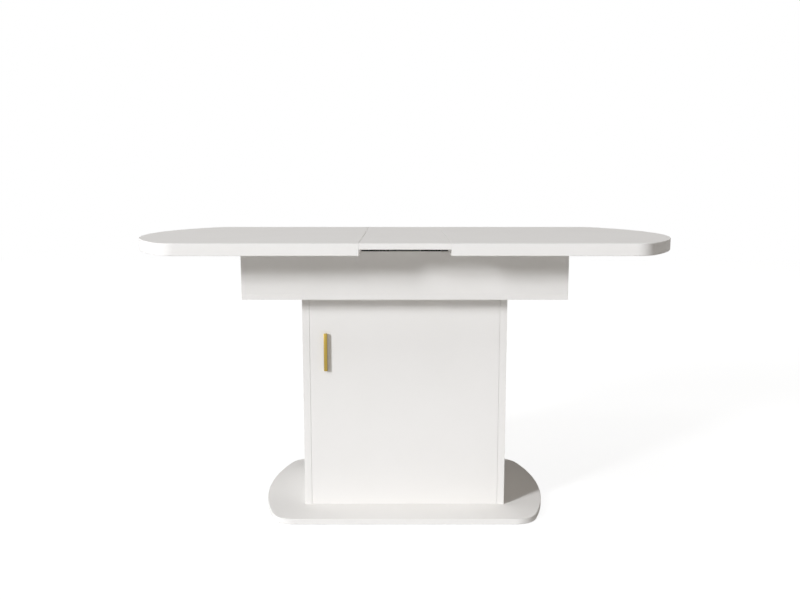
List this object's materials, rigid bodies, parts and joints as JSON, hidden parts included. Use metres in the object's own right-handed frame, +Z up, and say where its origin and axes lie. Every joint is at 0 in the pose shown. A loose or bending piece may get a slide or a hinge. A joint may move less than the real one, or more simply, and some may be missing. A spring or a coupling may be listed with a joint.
{
  "type": "extending dining table",
  "caption": "Extending dining table: two sliding rounded halves and a drop-in leaf over an apron box, on a cabinet pedestal with a door and a round-ended base.",
  "frame": {"origin": "on the floor, under the middle of the extended top", "axes": "+X along the extension, to the right of someone who faces the door; +Y away from the door side; +Z up"},
  "size_m": [1.4344, 0.7, 0.75],
  "materials": {
    "white_board": "satin white foil on particle board",
    "white_edging": "satin white ABS edge band",
    "beech": "planed, unfinished",
    "zinc_steel": "bright zinc plate",
    "nylon": "moulded nylon",
    "black_rubber": "moulded",
    "grey_felt": "pressed felt",
    "brass": "satin brass"
  },
  "bodies": {
    "pedestal": {"base_plate": "white_board", "cabinet_left_side": "white_board", "cabinet_right_side": "white_board", "cabinet_back": "white_board", "cabinet_bottom": "white_board", "cabinet_top": "white_board", "cabinet_shelf": "white_board", "apron_front_rail": "white_board", "apron_back_rail": "white_board", "apron_left_rail": "white_board", "apron_right_rail": "white_board", "apron_bottom_board": "white_board", "base_edge_band": "white_edging", "corner_blocks": "beech", "cabinet_dowels": "beech", "slide_outer_front_left": "zinc_steel", "slide_outer_front_right": "zinc_steel", "slide_outer_back_left": "zinc_steel", "slide_outer_back_right": "zinc_steel", "slide_outer_screws": "zinc_steel", "base_screws": "zinc_steel", "apron_screws": "zinc_steel", "bottom_board_screws": "zinc_steel", "shelf_pins": "zinc_steel", "end_glide_blocks": "nylon", "door_pivot_bushes": "nylon", "magnet_catch": "nylon", "base_glides": "grey_felt"},
    "left_half": {"left_top_panel": "white_board", "left_edge_band": "white_edging", "left_build_up_strip": "white_board", "left_cross_strip": "white_board", "left_front_runner": "beech", "left_back_runner": "beech", "left_slide_inner_front": "zinc_steel", "left_slide_inner_back": "zinc_steel", "left_runner_dowels": "beech", "left_slide_screws": "zinc_steel"},
    "right_half": {"right_top_panel": "white_board", "right_edge_band": "white_edging", "right_build_up_strip": "white_board", "right_cross_strip": "white_board", "right_front_runner": "beech", "right_back_runner": "beech", "right_slide_inner_front": "zinc_steel", "right_slide_inner_back": "zinc_steel", "right_runner_dowels": "beech", "right_slide_screws": "zinc_steel"},
    "leaf": {"leaf_panel": "white_board", "leaf_end_bands": "white_edging", "leaf_rest_pads": "black_rubber"},
    "door": {"door_panel": "white_board", "door_handle": "brass", "door_pivots": "zinc_steel", "door_screws": "zinc_steel", "strike_plate": "zinc_steel"},
    "ball_cage_front_left": {"ball_cage_front_left": "zinc_steel"},
    "ball_cage_front_right": {"ball_cage_front_right": "zinc_steel"},
    "ball_cage_back_left": {"ball_cage_back_left": "zinc_steel"},
    "ball_cage_back_right": {"ball_cage_back_right": "zinc_steel"}
  },
  "joints": [
    {"name": "left_half_slide", "type": "slide", "parent": "pedestal", "child": "left_half", "axis": [1, 0, 0], "range_m": [0, 0.111]},
    {"name": "right_half_slide", "type": "slide", "parent": "pedestal", "child": "right_half", "axis": [-1, 0, 0], "range_m": [0, 0.111]},
    {"name": "leaf_lift", "type": "slide", "parent": "pedestal", "child": "leaf", "axis": [0, 0, 1], "range_m": [0, 0.444]},
    {"name": "ball_cage_front_left_roll", "type": "slide", "parent": "pedestal", "child": "ball_cage_front_left", "axis": [1, 0, 0], "range_m": [0, 0.0555]},
    {"name": "ball_cage_front_right_roll", "type": "slide", "parent": "pedestal", "child": "ball_cage_front_right", "axis": [-1, 0, 0], "range_m": [0, 0.0555]},
    {"name": "ball_cage_back_left_roll", "type": "slide", "parent": "pedestal", "child": "ball_cage_back_left", "axis": [1, 0, 0], "range_m": [0, 0.0555]},
    {"name": "ball_cage_back_right_roll", "type": "slide", "parent": "pedestal", "child": "ball_cage_back_right", "axis": [-1, 0, 0], "range_m": [0, 0.0555]},
    {"name": "door_hinge", "type": "hinge", "parent": "pedestal", "child": "door", "pos_m": [0.2415, -0.1362, 0.3], "axis": [0, 0, 1], "range_deg": [0, 110]}
  ],
  "couplings": [
    {"joint": "right_half_slide", "follows": "left_half_slide", "ratio": 1},
    {"joint": "leaf_lift", "follows": "left_half_slide", "ratio": 4},
    {"joint": "ball_cage_front_left_roll", "follows": "left_half_slide", "ratio": 0.5},
    {"joint": "ball_cage_front_right_roll", "follows": "left_half_slide", "ratio": 0.5},
    {"joint": "ball_cage_back_left_roll", "follows": "left_half_slide", "ratio": 0.5},
    {"joint": "ball_cage_back_right_roll", "follows": "left_half_slide", "ratio": 0.5}
  ]
}
